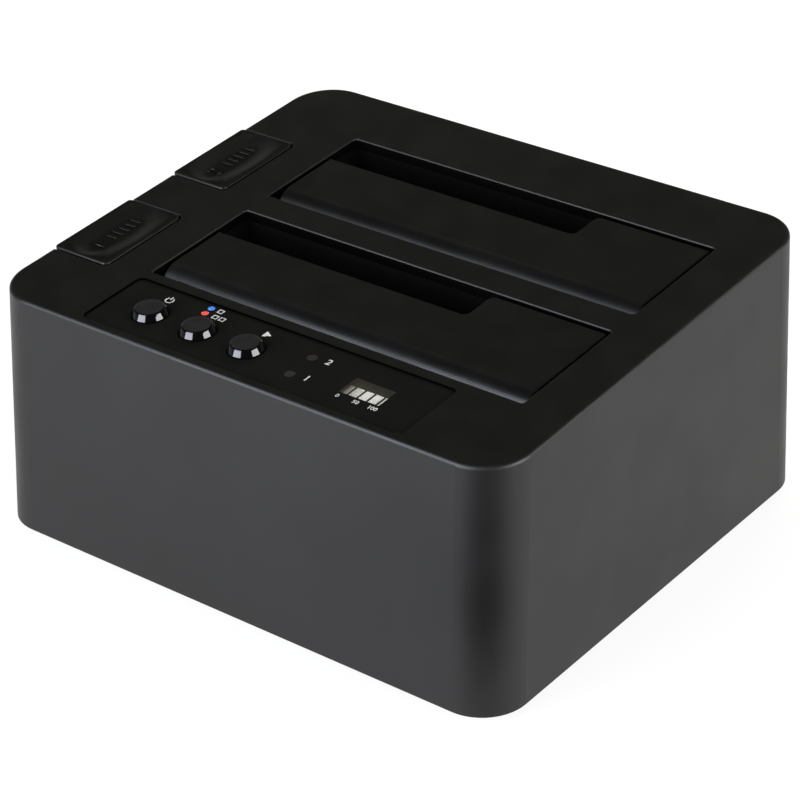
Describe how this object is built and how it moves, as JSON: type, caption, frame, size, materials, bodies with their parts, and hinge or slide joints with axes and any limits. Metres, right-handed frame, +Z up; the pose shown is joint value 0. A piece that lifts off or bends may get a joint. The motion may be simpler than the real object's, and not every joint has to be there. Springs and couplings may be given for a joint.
{
  "type": "drive docking station",
  "caption": "Desktop dock with drafted walls and a sloping deck: drives stand upright behind sprung flaps, with eject buttons, a control panel and rear inlets.",
  "frame": {"origin": "on the table, under the middle of the footprint", "axes": "+X along the front to the right, +Y to the back, +Z up"},
  "size_m": [0.1454, 0.1254, 0.0672],
  "materials": {
    "case": "fine satin moulding",
    "cover": "fine texture",
    "flap": "satin moulding",
    "eject": "satin moulding",
    "panel": "smooth film",
    "key": "gloss rim, matt face",
    "well": "plain moulding",
    "lever": "plain moulding",
    "pin": "ground",
    "spring": "drawn wire",
    "screw": "zinc plated",
    "foot": "soft matt",
    "board": "solder mask",
    "connector": "moulded",
    "port_shell": "tinned",
    "port_core": "moulded",
    "jack": "moulded",
    "jack_pin": "nickel plated",
    "light": "clear, unlit",
    "led": "cast",
    "window": "smoked clear",
    "bar": "white diffuser",
    "module": "moulded",
    "ribbon": "flat film",
    "socket": "moulded",
    "switch": "moulded",
    "plunger": "moulded"
  },
  "bodies": {
    "base": {"housing": "case", "bottom_cover": "cover", "control_panel": "panel", "front_drive_well": "well", "rear_drive_well": "well", "front_flap_pin": "pin", "rear_flap_pin": "pin", "front_lever_pin": "pin", "rear_lever_pin": "pin", "front_flap_spring": "spring", "rear_flap_spring": "spring", "front_eject_spring": "spring", "rear_eject_spring": "spring", "cover_screws": "screw", "board_screws": "screw", "control_board_screws": "screw", "rubber_feet": "foot", "main_board": "board", "control_board": "board", "front_drive_connector": "connector", "rear_drive_connector": "connector", "usb_port_shell": "port_shell", "esata_port_shell": "port_shell", "usb_port_core": "port_core", "esata_port_core": "port_core", "power_jack": "jack", "power_jack_pin": "jack_pin", "drive_light_pipes": "light", "drive_leds": "led", "progress_window": "window", "progress_light_bars": "bar", "progress_bar_module": "module", "control_ribbon": "ribbon", "ribbon_sockets": "socket", "switch_bodies": "switch"},
    "front_flap": {"front_flap": "flap"},
    "rear_flap": {"rear_flap": "flap"},
    "front_eject": {"front_eject_button": "eject"},
    "rear_eject": {"rear_eject_button": "eject"},
    "front_lever": {"front_ejector_lever": "lever"},
    "rear_lever": {"rear_ejector_lever": "lever"},
    "power_key": {"power_button": "key", "power_switch_plunger": "plunger"},
    "mode_key": {"mode_button": "key", "mode_switch_plunger": "plunger"},
    "start_key": {"start_button": "key", "start_switch_plunger": "plunger"}
  },
  "joints": [
    {"name": "front_flap_hinge", "type": "hinge", "parent": "base", "child": "front_flap", "pos_m": [0.00745, -0.03016, 0.05775], "axis": [-1, 0, 0], "range_deg": [0, 93], "stiffness_Nm_per_rad": 0.004, "springref_deg": -34.38, "deforming": ["front_flap_spring"]},
    {"name": "front_eject_press", "type": "slide", "parent": "base", "child": "front_eject", "axis": [0, 0, -1], "range_m": [0, 0.004], "stiffness_N_per_m": 350, "springref_m": -0.002, "deforming": ["front_eject_spring"]},
    {"name": "front_lever_turn", "type": "hinge", "parent": "base", "child": "front_lever", "pos_m": [-0.05, -0.01625, 0.0155], "axis": [0, -1, 0], "range_deg": [0, 23.02]},
    {"name": "rear_flap_hinge", "type": "hinge", "parent": "base", "child": "rear_flap", "pos_m": [0.00745, 0.01133, 0.06001], "axis": [-1, 0, 0], "range_deg": [0, 93], "stiffness_Nm_per_rad": 0.004, "springref_deg": -34.38, "deforming": ["rear_flap_spring"]},
    {"name": "rear_eject_press", "type": "slide", "parent": "base", "child": "rear_eject", "axis": [0, 0, -1], "range_m": [0, 0.004], "stiffness_N_per_m": 350, "springref_m": -0.002, "deforming": ["rear_eject_spring"]},
    {"name": "rear_lever_turn", "type": "hinge", "parent": "base", "child": "rear_lever", "pos_m": [-0.05, 0.0253, 0.0155], "axis": [0, -1, 0], "range_deg": [0, 23.02]},
    {"name": "power_press", "type": "slide", "parent": "base", "child": "power_key", "axis": [0, 0.0544, -0.9985], "range_m": [0, 0.0005], "stiffness_N_per_m": 2500, "springref_m": -0.0002},
    {"name": "mode_press", "type": "slide", "parent": "base", "child": "mode_key", "axis": [0, 0.0544, -0.9985], "range_m": [0, 0.0005], "stiffness_N_per_m": 2500, "springref_m": -0.0002},
    {"name": "start_press", "type": "slide", "parent": "base", "child": "start_key", "axis": [0, 0.0544, -0.9985], "range_m": [0, 0.0005], "stiffness_N_per_m": 2500, "springref_m": -0.0002}
  ],
  "couplings": [
    {"joint": "front_lever_turn", "follows": "front_eject_press", "rad_per_m": 100},
    {"joint": "rear_lever_turn", "follows": "rear_eject_press", "rad_per_m": 100}
  ]
}
